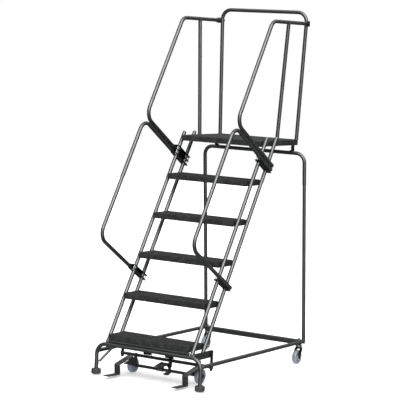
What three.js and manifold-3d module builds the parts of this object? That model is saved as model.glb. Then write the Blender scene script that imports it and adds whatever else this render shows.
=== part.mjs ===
// A rolling library ladder: five treads and a platform between two pairs of inclined
// tubes, with handrails, a raked rear frame, swivel casters behind, and a pedal-worked
// wheel frame in front that carries the ladder on two wheels or lets it down on its feet.
//
// Millimetres, +Z up. X runs across the ladder, Y from front to back, and the floor is
// Z = 0. The ladder stands on its four wheels, with the two front pedals pressed down.
import * as THREE from "three";
import { mergeVertices } from "three/addons/utils/BufferGeometryUtils.js";
import Module from "manifold-3d";

const wasm = await Module();
wasm.setup();

// ---- driving dimensions -------------------------------------------------------------

const GAP = 0.3; // left between pieces that touch
const WELD_GAP = 1; // left where a tube ends on another
const PAST = 150; // how far a cutting shape reaches past what it cuts
const TUBE_R = 12.7; // 25.4 mm steel tube, used for the whole frame
const ROUND_SIDES = 6; // curve segments of a tube's section, which give it 12 sides

const RISE = 254; // from tread to tread
const RUN = 153;
const TREADS = 5;
const TREAD_HALF_WIDTH = 304.8;
const TREAD_NOSE = 8; // how far a tread comes forward of its step line
const TREAD_DEPTH = 174; // behind its step line
const SKIRT = 38; // height of a tread's edges
const SHEET = 3; // tread sheet
const FIRST_TREAD_Z = 275;
const PLATFORM_Z = FIRST_TREAD_Z + TREADS * RISE;
const PLATFORM_FRONT_Y = TREADS * RUN;
const PLATFORM_DEPTH = 518;

const STRINGER_X = 319.8;
const STRINGER_FRONT_Y = 43; // tube centres at the height of the first tread
const STRINGER_REAR_Y = 174;
const STRINGER_FRONT_FOOT_Z = 217;
const STRINGER_REAR_FOOT_Z = 203;
const STRINGER_TOP_Z = PLATFORM_Z + 16;
const CAP_HEIGHT = 6;

const HANDRAIL_X = 345.6; // the rails pass just outside the stringers
const HANDRAIL_BEND = 75;
const LOWER_RAIL_REACH = 503; // from the stringers' middle line out to the rail
const UPPER_RAIL_REACH = 493;
const RAIL_END_REACH = 76; // past the stringers' middle line, inwards
const RAIL_PAIR_OFFSET = 14.7; // the two rails lie side by side in the upper clamp
const LOWER_CLAMP_Z = 647;
const UPPER_CLAMP_Z = 1406;
const SIDE_RAIL_TOP_Z = 2331.5;

// A rail clamp's flanges, pierced by the stringers, with the rails in the bays between.
const CLAMP = { front: -88, rear: 90, inner: 303, outer: 350, flange: 3.2 };
const CLAMP_WEB = { reach: 42, inner: 329, outer: 332 };

const SIDE_POST_Y = 987;
const GUARD_Y = 1260;
const POST_FOOT_X = 303;
const SIDE_POST_TOP_X = 344.6;
const SPLAYED_GAP = 1.5; // above a side post, whose end leans
const GUARD_TOP_X = 333;
const GUARD_TOP_Z = 2406;
const GUARD_BEND = 66;
const GUARD_CLAMP = { wall: 4, front: -46, crankFront: -12, crankRear: -3, rear: 20 };
const GUARD_CLAMP_HALF = { front: 9.5, rear: 18.5 }; // its half heights

const BASE_X = 394.5; // side rails, rear frame legs and feet
const REAR_FRAME_TOP = { y: 1216, z: 1455 };
const REAR_FRAME_FOOT = { y: 1357, z: 139 };
const REAR_FRAME_BEND = 62;
const BRACKET = { inner: 288, outer: 305, wall: 5, halfDepth: 20 };
const SIDE_RAIL_Z = 154;
const RAKED_GAP = 4.5; // behind a side rail, whose rear end meets a raked leg
const CROSS_MEMBER = { y: 1340, depth: 38, bottom: 131, top: 163, wall: 4 };

const FOOT_FRAME_Z = 205.5;
const FOOT_FRAME_BEND = 70;
const SILL_BAR = { r: 9, halfLength: 290 };
const FOOT_PAD = { r: 32, bottom: 5, top: 38, socket: 16, edge: 3, shoulder: 5 };
const BASE_PLATE = { front: 14.5, rear: 229, bottom: 183, top: 229, thick: 4.7 };
const BRACE_R = 8;
const BRACE_FOOT = { x: 386, y: 18.5, z: 82 };
const BRACE_TOP = { x: 330, y: 90, z: 176 };
const HANGER = { front: 204, rear: 232, bottom: 95, top: 224, thick: 4.7 };

const PIVOT = { y: 218, z: 119.5, r: 10.5, nutR: 17, nutLength: 7 };
const AXLE = { y: 224, z: 50, r: 9.5, headR: 14, headLength: 9 }; // behind the pivot
const FRONT_WHEEL = { x: 257, r: 50, halfWidth: 16, tyre: 14, bossHalf: 19.5, bossR: 17 };
const AXLE_HEAD_GAP = 0.8; // between a front wheel's boss and the axle's head
const BEARING_GAP = 0.4; // round a bar that turns in its hole
const ARM = { inner: 232.1, thick: 4.7, endR: 14.5 }; // rocker arms, just inside the wheels
const PEDAL = { inner: 237.2, outer: 281, thick: 5 };
const PEDAL_LINE = [[203, 113], [42, 76], [50, 10], [-84, 16]]; // (Y, Z) of its upper face
const RELEASE = { halfWidth: 28, cheek: 4, bore: 0.5, tabInner: -8 };
const LATCH_THICK = 5;
const SPRING = { x0: -64, x1: -30, r: 11.7, wireR: 1.2, turns: 7 };

const CASTER = { x: 368, y: 1340, trail: -20, pinR: 6 };
const REAR_WHEEL = { r: 47.5, halfWidth: 15, tyre: 13, bossHalf: 17, bossR: 14 };
const CASTER_RACE = { r: 22, bottom: 114 };
const CASTER_STEM = { r: 6, nutR: 11, nutHeight: 8, end: 13 };
const FORK = { crownR: 23, bottom: 103, side: 3, sheet: 3.5, half: 19, endR: 13, kneeZ: 66 };
const FORK_PIN_REACH = 4; // of the wheel's pin, past the fork's legs

// ---- shared shapes --------------------------------------------------------------------

const ladder = new THREE.Group();
const SIDES = [["left", -1], ["right", 1]];
const SLOPE = Math.atan2(RISE, RUN);
const ALONG = { y: Math.cos(SLOPE), z: Math.sin(SLOPE) }; // up the stringers
const ACROSS = { y: Math.sin(SLOPE), z: -Math.cos(SLOPE) }; // square to them, back and down

const LOOKS = {
  tube: { color: 0x3b3e3e, roughness: 0.45, metalness: 0.55 },
  tread: { color: 0x3d3d3d, roughness: 0.8, metalness: 0.3 },
  clamp: { color: 0x262929, roughness: 0.55, metalness: 0.4 },
  rubber: { color: 0x4a4a4a, roughness: 0.85, metalness: 0 },
  cap: { color: 0x8f9494, roughness: 0.6, metalness: 0 },
  wheel: { color: 0x92969c, roughness: 0.5, metalness: 0.05 },
  zinc: { color: 0xa7abad, roughness: 0.35, metalness: 0.8 },
};

function add(name, geometry, look) {
  const mesh = new THREE.Mesh(geometry, new THREE.MeshStandardMaterial(LOOKS[look]));
  mesh.name = name;
  ladder.add(mesh);
}

// A path whose sections sit exactly at the given stations, so straight stretches cost
// nothing and bends keep their steps.
class StationPath extends THREE.Curve {
  constructor(stations) {
    super();
    this.stations = stations;
  }
  station(t) {
    return this.stations[Math.round(t * (this.stations.length - 1))];
  }
  getUtoTmapping(u) {
    return u;
  }
  getPoint(t) {
    return this.station(t).point.clone();
  }
  getTangent(t) {
    return this.station(t).tangent.clone();
  }
}

// Corners joined by straight stretches, each inner corner rounded to the bend radius.
function bentPath(corners, bendRadius, stepsPerBend = 6) {
  const stations = [];
  const heading = (a, b) => new THREE.Vector3().subVectors(b, a).normalize();
  const last = corners.length - 1;
  stations.push({ point: corners[0], tangent: heading(corners[0], corners[1]) });
  for (let i = 1; i < last; i += 1) {
    const before = heading(corners[i - 1], corners[i]);
    const after = heading(corners[i], corners[i + 1]);
    const turn = before.angleTo(after);
    const setback = bendRadius * Math.tan(turn / 2);
    const axis = new THREE.Vector3().crossVectors(before, after).normalize();
    const start = corners[i].clone().addScaledVector(before, -setback);
    const toCentre = new THREE.Vector3().crossVectors(axis, before);
    const centre = start.clone().addScaledVector(toCentre, bendRadius);
    for (let k = 0; k <= stepsPerBend; k += 1) {
      const angle = (turn * k) / stepsPerBend;
      const spoke = toCentre.clone().multiplyScalar(-bendRadius).applyAxisAngle(axis, angle);
      stations.push({
        point: centre.clone().add(spoke),
        tangent: before.clone().applyAxisAngle(axis, angle),
      });
    }
  }
  stations.push({ point: corners[last], tangent: heading(corners[last - 1], corners[last]) });
  return new StationPath(stations);
}

function circle(radius) {
  return new THREE.Shape().absarc(0, 0, radius, 0, 2 * Math.PI);
}

function tube(corners, radius = TUBE_R, bendRadius = 0) {
  const path = bentPath(corners, bendRadius);
  return new THREE.ExtrudeGeometry(circle(radius), {
    steps: path.stations.length - 1,
    curveSegments: ROUND_SIDES,
    bevelEnabled: false,
    extrudePath: path,
  });
}

const point = (x, y, z) => new THREE.Vector3(x, y, z);

function box(x0, x1, y0, y1, z0, z1) {
  const geometry = new THREE.BoxGeometry(x1 - x0, y1 - y0, z1 - z0);
  return geometry.translate((x0 + x1) / 2, (y0 + y1) / 2, (z0 + z1) / 2);
}

function outline(points) {
  return new THREE.Shape(points.map(([a, b]) => new THREE.Vector2(a, b)));
}

function withHole(shape, a, b, radius) {
  shape.holes.push(new THREE.Path().absarc(a, b, radius, 0, 2 * Math.PI, true));
  return shape;
}

// Points of an arc, as far as both given angles in degrees.
function arc(centre, radius, from, to, steps = 8) {
  return Array.from({ length: steps + 1 }, (_, i) => {
    const angle = THREE.MathUtils.degToRad(from + ((to - from) * i) / steps);
    return [centre.y + radius * Math.cos(angle), centre.z + radius * Math.sin(angle)];
  });
}

// A plate drawn in (Y, Z) and given its thickness along X.
function plateAcrossX(shape, x0, x1) {
  const lowest = Math.min(x0, x1);
  const geometry = new THREE.ExtrudeGeometry(shape, {
    depth: Math.abs(x1 - x0),
    curveSegments: 8,
    bevelEnabled: false,
  });
  const turn = new THREE.Matrix4().makeBasis(point(0, 1, 0), point(0, 0, 1), point(1, 0, 0));
  return geometry.applyMatrix4(turn).translate(lowest, 0, 0);
}

// A turned piece whose axis is the X line through (y, z).
function turnedOnX(profile, x, y, z, segments = 32) {
  const points = profile.map(([radius, along]) => new THREE.Vector2(radius, along));
  return new THREE.LatheGeometry(points, segments).rotateZ(-Math.PI / 2).translate(x, y, z);
}

function turnedOnZ(profile, x, y, segments = 24) {
  const points = profile.map(([radius, along]) => new THREE.Vector2(radius, along));
  return new THREE.LatheGeometry(points, segments).rotateX(Math.PI / 2).translate(x, y, 0);
}

// Strip of constant thickness along a path of (Y, Z) corners, as wide as x0 to x1.
function strap(corners, thickness, x0, x1) {
  const headings = corners.slice(1).map(([y, z], i) => {
    const [fromY, fromZ] = corners[i];
    const length = Math.hypot(y - fromY, z - fromZ);
    return [(y - fromY) / length, (z - fromZ) / length];
  });
  const offset = corners.map(([y, z], i) => {
    const before = headings[Math.max(0, i - 1)];
    const after = headings[Math.min(headings.length - 1, i)];
    const normal = [-(before[1] + after[1]), before[0] + after[0]];
    const cosine = (1 + before[0] * after[0] + before[1] * after[1]) / 2;
    const reach = thickness / (2 * cosine);
    return [y + normal[0] * reach, z + normal[1] * reach];
  });
  return plateAcrossX(outline([...corners, ...offset.reverse()]), x0, x1);
}

function solidOf(geometry) {
  const bare = geometry.clone();
  bare.deleteAttribute("normal");
  bare.deleteAttribute("uv");
  const merged = mergeVertices(bare, 1e-3);
  return new wasm.Manifold(
    new wasm.Mesh({
      numProp: 3,
      vertProperties: merged.attributes.position.array,
      triVerts: Uint32Array.from(merged.index.array),
    }),
  );
}

function geometryOf(solid) {
  const mesh = solid.getMesh();
  const geometry = new THREE.BufferGeometry();
  geometry.setAttribute("position", new THREE.BufferAttribute(mesh.vertProperties, 3));
  geometry.setIndex(new THREE.BufferAttribute(mesh.triVerts, 1));
  geometry.computeVertexNormals();
  return geometry;
}

function joined(...geometries) {
  return geometryOf(geometries.map(solidOf).reduce((whole, next) => whole.add(next)));
}

function commonTo(first, second) {
  return geometryOf(solidOf(first).intersect(solidOf(second)));
}

function cutBy(geometry, ...tools) {
  return geometryOf(tools.map(solidOf).reduce((rest, tool) => rest.subtract(tool), solidOf(geometry)));
}

// ---- treads and platform ----------------------------------------------------------------

// A folded sheet pan: flat top with four edges turned down.
function pan(front, rear, top) {
  const half = TREAD_HALF_WIDTH;
  const outer = box(-half, half, front, rear, top - SKIRT, top);
  const inside = half - SHEET;
  const inner = box(-inside, inside, front + SHEET, rear - SHEET, top - SKIRT - 1, top - SHEET);
  return cutBy(outer, inner);
}

function addTreads() {
  for (let i = 0; i < TREADS; i += 1) {
    const line = i * RUN;
    const top = FIRST_TREAD_Z + i * RISE;
    add(`tread_${i + 1}`, pan(line - TREAD_NOSE, line + TREAD_DEPTH, top), "tread");
  }
  const rear = PLATFORM_FRONT_Y + PLATFORM_DEPTH;
  add("platform", pan(PLATFORM_FRONT_Y - TREAD_NOSE, rear, PLATFORM_Z), "tread");
}

// ---- stringers ----------------------------------------------------------------------------

// Height z on the stringer that is at `y` beside the first tread.
function stringerPoint(sign, y, z) {
  return point(sign * STRINGER_X, y + ((z - FIRST_TREAD_Z) * RUN) / RISE, z);
}

function addStringers() {
  const tubes = [
    ["front", STRINGER_FRONT_Y, STRINGER_FRONT_FOOT_Z],
    ["rear", STRINGER_REAR_Y, STRINGER_REAR_FOOT_Z],
  ];
  for (const [side, sign] of SIDES) {
    for (const [place, y, footZ] of tubes) {
      const at = (z) => stringerPoint(sign, y, z);
      const along = point(0, ALONG.y, ALONG.z);
      const capStart = at(STRINGER_TOP_Z).addScaledVector(along, GAP);
      const capEnd = capStart.clone().addScaledVector(along, CAP_HEIGHT);
      add(`stringer_${place}_${side}`, tube([at(footZ), at(STRINGER_TOP_Z)]), "tube");
      add(`stringer_cap_${place}_${side}`, tube([capStart, capEnd], TUBE_R - 0.5), "cap");
    }
  }
}

// ---- handrails ------------------------------------------------------------------------------

const middleY = (z) =>
  (STRINGER_FRONT_Y + STRINGER_REAR_Y) / 2 + ((z - FIRST_TREAD_Z) * RUN) / RISE;

// The point reached from the stringers' middle line at height z: `across` square to the
// stringers, back and down, and `along` up them.
function offStringers(z, across, along) {
  return {
    y: middleY(z) + across * ACROSS.y + along * ALONG.y,
    z: z + across * ACROSS.z + along * ALONG.z,
  };
}

function addHandrails() {
  const lowerEnd = offStringers(LOWER_CLAMP_Z, RAIL_END_REACH, 0);
  const lowerBend = offStringers(LOWER_CLAMP_Z, -LOWER_RAIL_REACH, 0);
  const lowerTopBend = offStringers(UPPER_CLAMP_Z, -LOWER_RAIL_REACH, -RAIL_PAIR_OFFSET);
  const lowerTopEnd = offStringers(UPPER_CLAMP_Z, RAIL_END_REACH, -RAIL_PAIR_OFFSET);
  const upperEnd = offStringers(UPPER_CLAMP_Z, RAIL_END_REACH, RAIL_PAIR_OFFSET);
  const upperBend = offStringers(UPPER_CLAMP_Z, -UPPER_RAIL_REACH, RAIL_PAIR_OFFSET);
  const climb = ((SIDE_RAIL_TOP_Z - upperBend.z) * RUN) / RISE;
  const shoulder = { y: upperBend.y + climb, z: SIDE_RAIL_TOP_Z };
  const back = { y: GUARD_Y - TUBE_R - 2 * WELD_GAP, z: SIDE_RAIL_TOP_Z };
  for (const [side, sign] of SIDES) {
    const place = ({ y, z }) => point(sign * HANDRAIL_X, y, z);
    const lower = [lowerEnd, lowerBend, lowerTopBend, lowerTopEnd].map(place);
    const upper = [upperEnd, upperBend, shoulder, back].map(place);
    add(`handrail_lower_${side}`, tube(lower, TUBE_R, HANDRAIL_BEND), "tube");
    add(`handrail_upper_${side}`, tube(upper, TUBE_R, HANDRAIL_BEND), "tube");
  }
}

// A bar of the rail clamp at height z: `from` and `to` are reached along the stringers.
function clampBar(z, sign, x0, x1, front, rear, from, to) {
  const corners = [[front, from], [rear, from], [rear, to], [front, to]].map(([across, along]) => {
    const at = offStringers(z, across, along);
    return [at.y, at.z];
  });
  return plateAcrossX(outline(corners), sign * x0, sign * x1);
}

function addRailClamps() {
  const pitch = 2 * RAIL_PAIR_OFFSET;
  const clamps = [["lower", LOWER_CLAMP_Z, 1], ["upper", UPPER_CLAMP_Z, 2]];
  for (const [place, z, rails] of clamps) {
    const half = (rails * pitch) / 2;
    for (const [side, sign] of SIDES) {
      const { reach } = CLAMP_WEB;
      const web = clampBar(z, sign, CLAMP_WEB.inner, CLAMP_WEB.outer, -reach, reach, -half, half);
      const flanges = Array.from({ length: rails + 1 }, (_, i) => {
        const low = -half + i * pitch - CLAMP.flange / 2;
        const high = low + CLAMP.flange;
        return clampBar(z, sign, CLAMP.inner, CLAMP.outer, CLAMP.front, CLAMP.rear, low, high);
      });
      const holes = [STRINGER_FRONT_Y, STRINGER_REAR_Y].map((y) => {
        const at = (height) => stringerPoint(sign, y, height);
        return tube([at(z - PAST), at(z + PAST)], TUBE_R + BEARING_GAP);
      });
      add(`rail_clamp_${place}_${side}`, cutBy(joined(web, ...flanges), ...holes), "clamp");
    }
  }
}

// ---- platform posts and back guard -----------------------------------------------------------

function addGuards() {
  const foot = PLATFORM_Z + GAP + WELD_GAP;
  const splay = (GUARD_TOP_X - POST_FOOT_X) / (GUARD_TOP_Z - PLATFORM_Z);
  const postTop = SIDE_RAIL_TOP_Z - TUBE_R - SPLAYED_GAP;
  const guard = [
    point(-POST_FOOT_X, GUARD_Y, foot),
    point(-GUARD_TOP_X, GUARD_Y, GUARD_TOP_Z),
    point(GUARD_TOP_X, GUARD_Y, GUARD_TOP_Z),
    point(POST_FOOT_X, GUARD_Y, foot),
  ];
  add("back_guard", tube(guard, TUBE_R, GUARD_BEND), "tube");
  const legX = POST_FOOT_X + splay * (SIDE_RAIL_TOP_Z - PLATFORM_Z);
  for (const [side, sign] of SIDES) {
    const post = [
      point(sign * POST_FOOT_X, SIDE_POST_Y, foot),
      point(sign * SIDE_POST_TOP_X, SIDE_POST_Y, postTop),
    ];
    add(`side_post_${side}`, tube(post), "tube");
    add(`guard_clamp_${side}`, guardClamp(sign, legX), "clamp");
  }
}

// A cranked strap outside the end of the side rail and the guard's leg behind it, which
// grows taller towards the leg.
function guardClamp(sign, legX) {
  const { wall } = GUARD_CLAMP;
  const railFace = HANDRAIL_X + TUBE_R + GAP;
  const legFace = legX + TUBE_R + 1.2;
  const front = GUARD_Y + GUARD_CLAMP.front;
  const crankFront = GUARD_Y + GUARD_CLAMP.crankFront;
  const crankRear = GUARD_Y + GUARD_CLAMP.crankRear;
  const rear = GUARD_Y + GUARD_CLAMP.rear;
  const shape = outline([
    [railFace, front],
    [railFace + wall, front],
    [railFace + wall, crankFront + 2],
    [legFace + wall, crankRear + 4],
    [legFace + wall, rear],
    [legFace, rear],
    [legFace, crankRear + 2],
    [railFace, crankFront],
  ]);
  const half = GUARD_CLAMP_HALF;
  const strip = new THREE.ExtrudeGeometry(shape, { depth: 2 * half.rear, bevelEnabled: false });
  strip.translate(0, 0, SIDE_RAIL_TOP_Z - half.rear);
  const sideView = outline([
    [front - 1, SIDE_RAIL_TOP_Z - half.front],
    [crankFront, SIDE_RAIL_TOP_Z - half.rear],
    [rear + 1, SIDE_RAIL_TOP_Z - half.rear],
    [rear + 1, SIDE_RAIL_TOP_Z + half.rear],
    [crankFront, SIDE_RAIL_TOP_Z + half.rear],
    [front - 1, SIDE_RAIL_TOP_Z + half.front],
  ]);
  const tapered = commonTo(strip, plateAcrossX(sideView, legX, legX + PAST));
  return sign > 0 ? tapered : mirrored(tapered);
}

// Mirror in the plane X = 0, with the triangles turned round to keep facing out.
function mirrored(geometry) {
  const flat = geometry.index ? geometry.toNonIndexed() : geometry.clone();
  const position = flat.attributes.position;
  for (let i = 0; i < position.count; i += 3) {
    const corners = [0, 2, 1].map((k) => new THREE.Vector3().fromBufferAttribute(position, i + k));
    corners.forEach((corner, k) => position.setXYZ(i + k, -corner.x, corner.y, corner.z));
  }
  return flat;
}

// ---- rear frame and base ------------------------------------------------------------------------

function addRearFrame() {
  const rearFrame = [
    point(-BASE_X, REAR_FRAME_FOOT.y, REAR_FRAME_FOOT.z),
    point(-BASE_X, REAR_FRAME_TOP.y, REAR_FRAME_TOP.z),
    point(BASE_X, REAR_FRAME_TOP.y, REAR_FRAME_TOP.z),
    point(BASE_X, REAR_FRAME_FOOT.y, REAR_FRAME_FOOT.z),
  ];
  add("rear_frame", tube(rearFrame, TUBE_R, REAR_FRAME_BEND), "tube");
  // Angles between the platform's side edges and the frame's top bar.
  const top = PLATFORM_Z - SKIRT - GAP;
  const foot = REAR_FRAME_TOP.z + TUBE_R + GAP;
  const front = REAR_FRAME_TOP.y - BRACKET.halfDepth;
  const rear = REAR_FRAME_TOP.y + BRACKET.halfDepth;
  for (const [side, sign] of SIDES) {
    const bar = (x0, x1, z1) =>
      box(Math.min(sign * x0, sign * x1), Math.max(sign * x0, sign * x1), front, rear, foot, z1);
    const upright = bar(BRACKET.outer - BRACKET.wall, BRACKET.outer, top);
    const shelf = bar(BRACKET.inner, BRACKET.outer, foot + BRACKET.wall);
    add(`platform_bracket_${side}`, joined(upright, shelf), "clamp");
  }
}

function addBase() {
  const { y, depth, bottom, top, wall } = CROSS_MEMBER;
  const half = BASE_X - TUBE_R - 2 * GAP;
  const front = y - depth / 2;
  const rear = y + depth / 2;
  const channel = outline([
    [front, bottom], [front + wall, bottom], [front + wall, top - wall],
    [rear - wall, top - wall], [rear - wall, bottom], [rear, bottom],
    [rear, top], [front, top],
  ]);
  const holeR = CASTER_STEM.r + 0.5;
  const stemHoles = SIDES.map(([, sign]) =>
    turnedOnZ(
      [[0, top - 2 * wall], [holeR, top - 2 * wall], [holeR, top + wall], [0, top + wall]],
      sign * CASTER.x,
      CASTER.y,
    ),
  );
  add("rear_cross_member", cutBy(plateAcrossX(channel, -half, half), ...stemHoles), "tube");
  for (const [side, sign] of SIDES) {
    const front = point(sign * BASE_X, TUBE_R + WELD_GAP, SIDE_RAIL_Z);
    const rear = point(sign * BASE_X, REAR_FRAME_FOOT.y - TUBE_R - RAKED_GAP, SIDE_RAIL_Z);
    add(`side_rail_${side}`, tube([front, rear]), "tube");
  }
}

function addFeet() {
  const { r, bottom, top, socket, edge, shoulder } = FOOT_PAD;
  const legEnd = socket + GAP;
  const frame = [
    point(-BASE_X, 0, legEnd),
    point(-BASE_X, 0, FOOT_FRAME_Z),
    point(BASE_X, 0, FOOT_FRAME_Z),
    point(BASE_X, 0, legEnd),
  ];
  add("foot_frame", tube(frame, TUBE_R, FOOT_FRAME_BEND), "tube");
  const sillZ = FOOT_FRAME_Z + TUBE_R + GAP + SILL_BAR.r;
  const sill = [-1, 1].map((sign) => point(sign * SILL_BAR.halfLength, 0, sillZ));
  add("sill_bar", tube(sill, SILL_BAR.r), "tube");
  const bore = TUBE_R + BEARING_GAP;
  const pad = [
    [0, bottom], [r - edge, bottom], [r, bottom + edge], [r, top - 2 * edge],
    [r - shoulder, top], [bore, top], [bore, socket], [0, socket],
  ];
  for (const [side, sign] of SIDES) {
    add(`foot_pad_${side}`, turnedOnZ(pad, sign * BASE_X, 0, 28), "rubber");
    const brace = [BRACE_FOOT, BRACE_TOP].map(({ x, y, z }) => point(sign * x, y, z));
    add(`foot_brace_${side}`, tube(brace, BRACE_R), "tube");
  }
}

const BASE_PLATE_INNER = STRINGER_X + TUBE_R + 2 * GAP;
const HANGER_INNER = BASE_PLATE_INNER + BASE_PLATE.thick + GAP;
const HANGER_OUTER = HANGER_INNER + HANGER.thick;

// The plates that join the stringers' feet, and the hangers that carry the pivot bar.
function addBasePlates() {
  const rectangle = ({ front, rear, bottom, top }) =>
    outline([[front, bottom], [rear, bottom], [rear, top], [front, top]]);
  for (const [side, sign] of SIDES) {
    const inner = sign * BASE_PLATE_INNER;
    const plate = plateAcrossX(rectangle(BASE_PLATE), inner, inner + sign * BASE_PLATE.thick);
    add(`base_plate_${side}`, plate, "tube");
    const hanger = withHole(rectangle(HANGER), PIVOT.y, PIVOT.z, PIVOT.r + BEARING_GAP);
    const hung = plateAcrossX(hanger, sign * HANGER_INNER, sign * HANGER_OUTER);
    add(`pivot_hanger_${side}`, hung, "clamp");
  }
}

// ---- front wheel frame and its pedals -------------------------------------------------------------

// A bar along X with a wider head on each end, whose inner faces are at `headX`.
function headedBar({ y, z }, r, headX, headR, headLength) {
  const end = headX + headLength;
  const profile = [
    [0, -end], [headR, -end], [headR, -headX], [r, -headX],
    [r, headX], [headR, headX], [headR, end], [0, end],
  ];
  return turnedOnX(profile, 0, y, z, 16);
}

function addPivot() {
  const nutX = HANGER_OUTER + GAP;
  add("pivot_bar", headedBar(PIVOT, PIVOT.r, nutX, PIVOT.nutR, PIVOT.nutLength), "tube");
}

// An arm goes from the pivot down to the axle, with a gusset forward under the pedal.
function addRocker() {
  for (const [side, sign] of SIDES) {
    const arm = outline([
      [80, 79], [80, 76], [116, 71], [205, 46],
      ...arc(AXLE, ARM.endR, 225, 360),
      ...arc(PIVOT, ARM.endR, 0, 170),
      [198, 107],
    ]);
    withHole(arm, PIVOT.y, PIVOT.z, PIVOT.r + BEARING_GAP);
    withHole(arm, AXLE.y, AXLE.z, AXLE.r + BEARING_GAP);
    const plate = plateAcrossX(arm, sign * ARM.inner, sign * (ARM.inner + ARM.thick));
    add(`rocker_arm_${side}`, plate, "tube");
    const pedal = strap(PEDAL_LINE, PEDAL.thick, sign * PEDAL.inner, sign * PEDAL.outer);
    add(`pedal_${side}`, pedal, "tube");
    addFrontWheel(side, sign);
  }
  const headX = FRONT_WHEEL.x + FRONT_WHEEL.bossHalf + AXLE_HEAD_GAP;
  add("axle_bar", headedBar(AXLE, AXLE.r, headX, AXLE.headR, AXLE.headLength), "tube");
}

// Half section of a wheel: a hub, a thin web and a rounded tread, as (radius, width) pairs.
function wheelSection(r, halfWidth, bore, hubR, hubHalf, rim) {
  const webHalf = 6.5;
  const round = 6; // the tread's rounded corners
  const outer = [
    [bore, -hubHalf], [hubR, -hubHalf], [hubR, -webHalf], [rim, -webHalf],
    [rim, -halfWidth + 1], [r - round, -halfWidth], [r - 1.5, -halfWidth + 2],
    [r, -halfWidth + round],
  ];
  const mirroredHalf = outer.map(([radius, along]) => [radius, -along]).reverse();
  return [...outer, ...mirroredHalf, outer[0]];
}

function addFrontWheel(side, sign) {
  const { x, r, halfWidth, tyre, bossHalf, bossR } = FRONT_WHEEL;
  const bore = AXLE.r + BEARING_GAP;
  const section = wheelSection(r, halfWidth, bore, bossR, bossHalf, r - tyre);
  add(`front_wheel_${side}`, turnedOnX(section, sign * x, AXLE.y, AXLE.z), "wheel");
}

// The release pedal turns on the axle bar: a foot plate on two cheeks, of which the right
// one goes on down to a low tab.
function addRelease() {
  const { halfWidth, cheek, bore, tabInner } = RELEASE;
  const rightCheek = outline([
    [121, 82], [123, 90], [204, 103], [236, 104], [238, 60], [239, 36],
    [204, 26], [206, 44], [210, 62], [200, 80], [185, 88], [160, 88],
  ]);
  const leftCheek = outline([
    [160, 88], [204, 103], [214, 104], [232, 72],
    ...arc(AXLE, 13, 20, -160),
    [205, 68], [190, 88],
  ]);
  const pedal = joined(
    plateAcrossX(rightCheek, halfWidth - cheek, halfWidth),
    plateAcrossX(leftCheek, -halfWidth, cheek - halfWidth),
    strap([[121, 84], [204, 99]], cheek, -halfWidth, halfWidth),
    strap([[203, 23], [238, 33]], cheek, tabInner, halfWidth),
  );
  const boreR = AXLE.r + bore;
  const span = 2 * halfWidth;
  const drill = [[0, -span], [boreR, -span], [boreR, span], [0, span]];
  add("release_pedal", cutBy(pedal, turnedOnX(drill, 0, AXLE.y, AXLE.z, 16)), "tube");
  addLatch(halfWidth + 1);
}

// Toothed quadrant on the pivot bar, which the release pedal's cheek locks against, and
// the spring that lifts the pedal.
function addLatch(innerX) {
  const quadrant = outline([
    [200, 98], [194, 86], [206, 72], [220, 69], [236, 74], [242, 119], [232, 138], [208, 138],
  ]);
  withHole(quadrant, PIVOT.y, PIVOT.z, PIVOT.r + BEARING_GAP);
  add("latch_quadrant", plateAcrossX(quadrant, innerX, innerX + LATCH_THICK), "clamp");
  add("pedal_spring", coil(SPRING), "zinc");
}

// Coil spring round the axle bar.
function coil({ x0, x1, r, wireR, turns }) {
  const steps = 10 * turns;
  const whole = 2 * Math.PI * turns;
  const stations = Array.from({ length: steps + 1 }, (_, i) => {
    const share = i / steps;
    const cos = Math.cos(whole * share);
    const sin = Math.sin(whole * share);
    return {
      point: point(x0 + (x1 - x0) * share, AXLE.y + r * cos, AXLE.z + r * sin),
      tangent: point((x1 - x0) / whole, -r * sin, r * cos).normalize(),
    };
  });
  return new THREE.ExtrudeGeometry(circle(wireR), {
    steps,
    curveSegments: 3,
    bevelEnabled: false,
    extrudePath: new StationPath(stations),
  });
}

// ---- rear casters -------------------------------------------------------------------------------

const FORK_INNER = REAR_WHEEL.halfWidth + FORK.side;
const FORK_OUTER = FORK_INNER + FORK.sheet;

// The stem, its race under the cross member and its nut on top.
function casterStem(x) {
  const { r, nutR, nutHeight, end } = CASTER_STEM;
  const raceTop = CROSS_MEMBER.bottom - GAP;
  const nut = CROSS_MEMBER.top + GAP;
  const profile = [
    [0, CASTER_RACE.bottom], [CASTER_RACE.r, CASTER_RACE.bottom], [CASTER_RACE.r, raceTop],
    [r, raceTop], [r, nut], [nutR, nut], [nutR, nut + nutHeight], [r, nut + nutHeight],
    [r, nut + end], [0, nut + end],
  ];
  return turnedOnZ(profile, x, CASTER.y);
}

// A crown under the race with a leg down each side of the wheel, and the wheel's pin.
function casterFork(x) {
  const { y, trail, pinR } = CASTER;
  const { crownR, bottom, half, sheet, endR, kneeZ } = FORK;
  const crownTop = CASTER_RACE.bottom - 0.5;
  const axle = { y: y + trail, z: REAR_WHEEL.r };
  const crownProfile = [
    [0, bottom], [crownR - 2, bottom], [crownR, bottom + 3], [crownR, crownTop], [0, crownTop],
  ];
  const leg = () =>
    outline([
      [y + half, bottom + 1], [y - half, bottom + 1], [axle.y - endR, kneeZ],
      ...arc(axle, endR, 180, 360, 6),
    ]);
  const legs = [-1, 1].map((face) =>
    plateAcrossX(leg(), x + face * FORK_INNER, x + face * FORK_OUTER),
  );
  const bridge = box(x - FORK_OUTER, x + FORK_OUTER, y - half + 1, y + half - 1, bottom, bottom + sheet);
  const pinEnd = FORK_OUTER + FORK_PIN_REACH;
  const pin = [[0, -pinEnd], [pinR, -pinEnd], [pinR, pinEnd], [0, pinEnd]];
  return joined(
    turnedOnZ(crownProfile, x, y),
    bridge,
    ...legs,
    turnedOnX(pin, x, axle.y, axle.z, 16),
  );
}

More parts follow.
